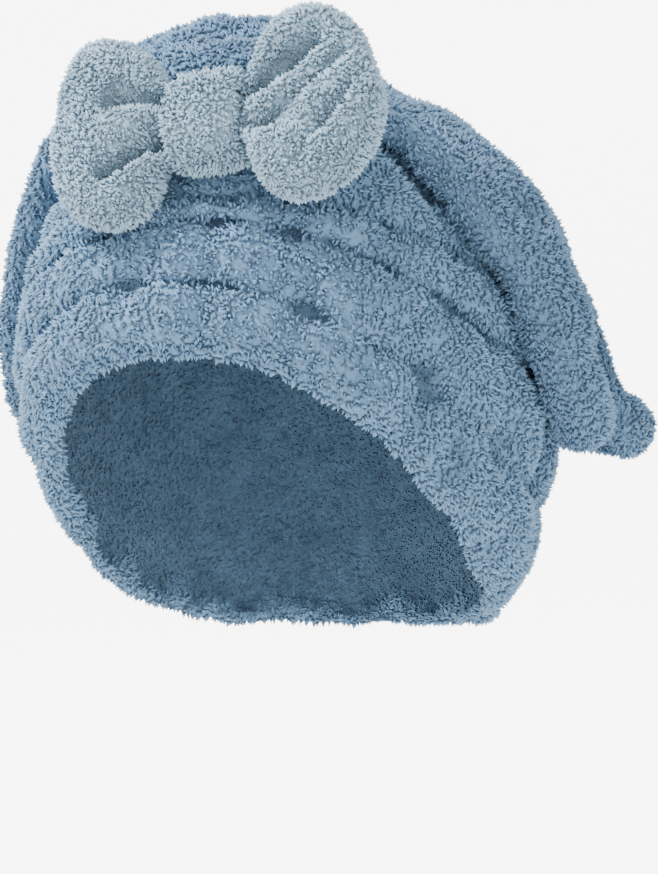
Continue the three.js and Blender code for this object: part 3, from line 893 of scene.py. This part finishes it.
def floor_material(scene):
    """A pale floor that looks brighter to the camera than the light it gives."""
    colour = (*scene.turban_colours.stage_colour, 1.0)
    surface = {"Base Color": colour, "Emission Color": colour, **FLOOR_SURFACE}
    made, shader = new_material("Pale floor", surface)
    seen = new_node(made.node_tree, "ShaderNodeLightPath").outputs["Is Camera Ray"]
    glow = number_math(made.node_tree, "MULTIPLY_ADD", seen, FLOOR_GLOW_TO_CAMERA, FLOOR_GLOW)
    feed(made.node_tree, shader, {"Emission Strength": glow})
    return made


def place_lights(scene):
    """Three round soft lights and a plain sky."""
    stage = scene.turban_stage
    for light in LIGHTS:
        lamp = bpy.data.lights.new(light["name"], "AREA")
        lamp.shape = "DISK"
        lamp.size = light["size"]
        lamp.energy = getattr(stage, light["power"])
        stood = new_object(light["name"], lamp)
        towards = Vector(LIT_PLACE) - Vector(light["place"])
        stood.rotation_euler = towards.to_track_quat("-Z", "Y").to_euler()
        stood.location = light["place"]
    world = bpy.data.worlds.new("Plain sky")
    world.use_nodes = True
    sky = world.node_tree.nodes["Background"]
    sky.inputs["Color"].default_value = (1.0, 1.0, 1.0, 1.0)
    sky.inputs["Strength"].default_value = stage.sky_strength
    scene.world = world


def dress_cover(scene, node_name, name, colour):
    """Dresses the band or the crown, which share one kind of cloth and one pile."""
    cloth = scene.turban_cloth
    pile = scene.turban_pile
    cover = merged_copy(node_name, name)
    smoothly_divided(cover, cloth.detail)
    rumpled(cover, cloth.rumple_depth, cloth.rumple_size)
    deepened(cover, cloth.relief_gain)
    store_openness(cover)
    density = pile.locks_per_square_metre
    finish_cloth(cover, node_name, colour, pile.lock_length, density)
    return cover


class TURBAN_OT_band(bpy.types.Operator):
    """Dresses the shirred band round the head in plush"""

    bl_idname = "turban.band"
    bl_label = "Shirred band"

    def execute(self, context):
        colour = context.scene.turban_colours.band_colour
        band = dress_cover(context.scene, "shirred_band", "band", colour)
        return {"FINISHED"}


class TURBAN_OT_crown(bpy.types.Operator):
    """Dresses the slouchy crown in plush"""

    bl_idname = "turban.crown"
    bl_label = "Crown"

    def execute(self, context):
        # Painted shade: the crown gets a darker copy of the band's colour
        colour = context.scene.turban_colours.crown_shaded_colour
        crown = dress_cover(context.scene, "crown_pouch", "crown", colour)
        return {"FINISHED"}


class TURBAN_OT_bow(bpy.types.Operator):
    """Dresses the padded bow and the knot round its waist in the lighter plush"""

    bl_idname = "turban.bow"
    bl_label = "Bow and knot"

    def execute(self, context):
        cloth = context.scene.turban_cloth
        pile = context.scene.turban_pile
        colour = context.scene.turban_colours.bow_colour
        for node_name in ("bow", "bow_knot"):
            piece = merged_copy(node_name, f"{node_name}_cloth")
            smoothly_divided(piece, cloth.detail)
            if node_name == "bow":
                creased(piece)
            rumpled(piece, cloth.bow_rumple_depth, cloth.rumple_size)
            deepened(piece, cloth.relief_gain * BOW_RELIEF_SHARE)
            store_openness(piece)
            length = pile.bow_lock_length
            density = pile.bow_locks_per_square_metre
            finish_cloth(piece, node_name, colour, length, density)
        return {"FINISHED"}


class TURBAN_PT_sidebar(bpy.types.Panel):
    """Lists the turban's pieces in the sidebar"""

    bl_idname = "TURBAN_PT_sidebar"
    bl_label = "Turban"
    bl_space_type = "VIEW_3D"
    bl_region_type = "UI"
    bl_category = "Turban"

    def draw(self, context):
        column = self.layout.column()
        for operator in OPERATORS:
            column.operator(operator.bl_idname)


SETTINGS = {
    "turban_cloth": TurbanClothSettings,
    "turban_pile": TurbanPileSettings,
    "turban_colours": TurbanColourSettings,
    "turban_stage": TurbanStageSettings,
}
OPERATORS = (TURBAN_OT_stage, TURBAN_OT_band, TURBAN_OT_crown, TURBAN_OT_bow)


def register():
    for name, settings in SETTINGS.items():
        bpy.utils.register_class(settings)
        setattr(bpy.types.Scene, name, bpy.props.PointerProperty(type=settings))
    for operator in OPERATORS:
        bpy.utils.register_class(operator)
    bpy.utils.register_class(TURBAN_PT_sidebar)


def unregister():
    bpy.utils.unregister_class(TURBAN_PT_sidebar)
    for operator in reversed(OPERATORS):
        bpy.utils.unregister_class(operator)
    for name, settings in SETTINGS.items():
        delattr(bpy.types.Scene, name)
        bpy.utils.unregister_class(settings)


def main():
    register()
    bpy.ops.turban.stage()
    bpy.ops.turban.band()
    bpy.ops.turban.crown()
    bpy.ops.turban.bow()


if __name__ == "__main__":
    main()
